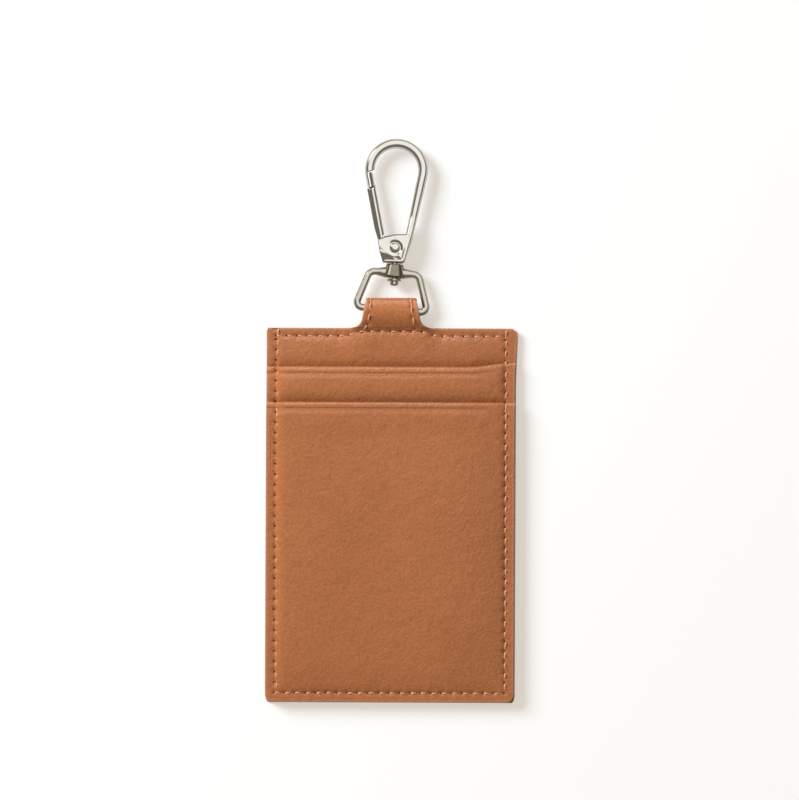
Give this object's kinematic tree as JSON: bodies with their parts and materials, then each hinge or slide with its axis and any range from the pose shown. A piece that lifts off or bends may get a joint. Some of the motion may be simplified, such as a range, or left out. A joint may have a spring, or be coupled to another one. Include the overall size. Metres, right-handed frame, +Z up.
{
  "type": "vertical card holder",
  "caption": "Upright sewn leather holder with open-topped card pockets, hung by a folded tab and a wire ring from a swivelling snap hook with a sprung gate.",
  "frame": {"origin": "under the middle of the whole length, on the surface that the holder lies on", "axes": "+X across the holder to the right, +Y along it towards the hook, +Z up out of the pockets"},
  "size_m": [0.0702, 0.1582, 0.0063],
  "materials": {
    "back_leather": "smooth tan leather, matt side out",
    "stiffener_board": "uncoated board",
    "base_leather": "smooth tan leather, low sheen",
    "upper_pocket_leather": "smooth tan leather, low sheen",
    "front_pocket_leather": "smooth tan leather, low sheen",
    "ring_nickel": "polished nickel plate",
    "washer_steel": "plain steel",
    "pin_nickel": "polished nickel plate",
    "hook_nickel": "polished nickel plate",
    "gate_nickel": "polished nickel plate",
    "rivet_nickel": "polished nickel plate",
    "spring_steel": "bare spring wire"
  },
  "bodies": {
    "holder": {"back_panel": "back_leather", "back_stiffener": "stiffener_board", "front_base": "base_leather", "upper_pocket": "upper_pocket_leather", "front_pocket": "front_pocket_leather"},
    "ring": {"base_ring": "ring_nickel"},
    "hook": {"hook_frame": "hook_nickel", "swivel_pin": "pin_nickel", "swivel_washer": "washer_steel", "gate_rivet": "rivet_nickel", "gate_spring": "spring_steel"},
    "gate_body": {"gate": "gate_nickel"}
  },
  "joints": [
    {"name": "ring_swing", "type": "hinge", "parent": "holder", "child": "ring", "pos_m": [0, 0.03118, 0.0028], "axis": [0.9968, -0.0802, 0], "range_deg": [-95, 95]},
    {"name": "hook_swivel", "type": "hinge", "parent": "ring", "child": "hook", "pos_m": [0.00087, 0.042, 0.0028], "axis": [0.0166, 0.9999, 0], "continuous": true},
    {"name": "gate_open", "type": "hinge", "parent": "hook", "child": "gate_body", "pos_m": [0.00098, 0.04845, 0.0028], "axis": [0, 0, -1], "range_deg": [0, 24], "stiffness_Nm_per_rad": 0.03, "springref_deg": -57.3, "deforming": ["gate_spring"]}
  ]
}
